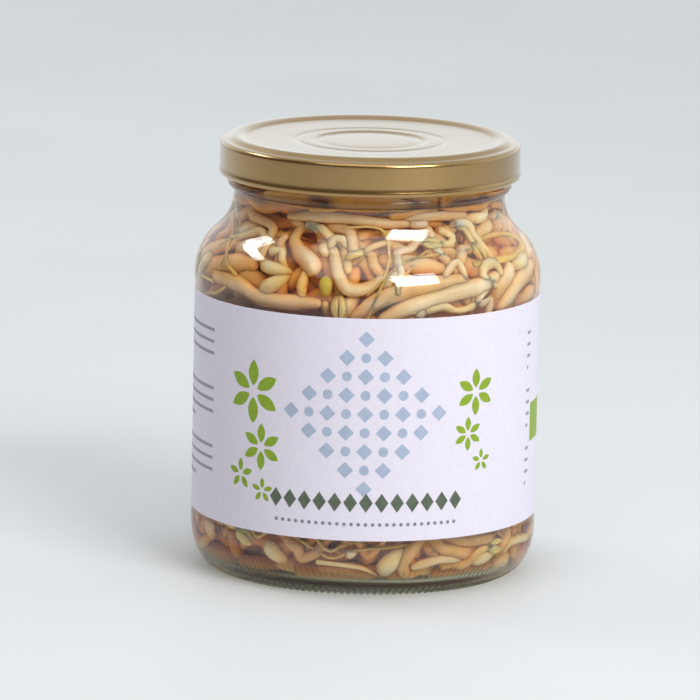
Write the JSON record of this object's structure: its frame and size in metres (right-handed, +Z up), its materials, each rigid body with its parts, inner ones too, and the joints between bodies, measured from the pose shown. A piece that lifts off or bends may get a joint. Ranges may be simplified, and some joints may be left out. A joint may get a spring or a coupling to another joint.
{
  "type": "jar of bean sprouts",
  "caption": "Round glass food jar packed with bean sprouts in brine, with a paper label and a twist-off metal lid.",
  "frame": {"origin": "centre of the ring that the jar stands on", "axes": "+Z up along the jar's axis; -Y is the front of the label"},
  "size_m": [0.0796, 0.0796, 0.1002],
  "materials": {
    "jar_glass": "clear, faint green, polished",
    "lid_lacquer": "satin gold lacquer on tinplate",
    "lid_compound": "soft matte sealing compound",
    "label_paper": "smooth coated paper, printed",
    "sprout_flesh": "moist, translucent, ivory to pale amber",
    "brine": "clear amber liquid"
  },
  "bodies": {
    "jar": {"glass_jar": "jar_glass", "paper_label": "label_paper", "brine": "brine", "sprouts_lower": "sprout_flesh", "sprouts_middle": "sprout_flesh", "sprouts_upper": "sprout_flesh"},
    "lid": {"lid": "lid_lacquer", "sealing_ring": "lid_compound"}
  },
  "joints": [
    {"name": "lid_twist", "type": "hinge", "parent": "jar", "child": "lid", "pos_m": [0, 0, 0.0913], "axis": [0, 0, 1], "range_deg": [0, 60]}
  ]
}
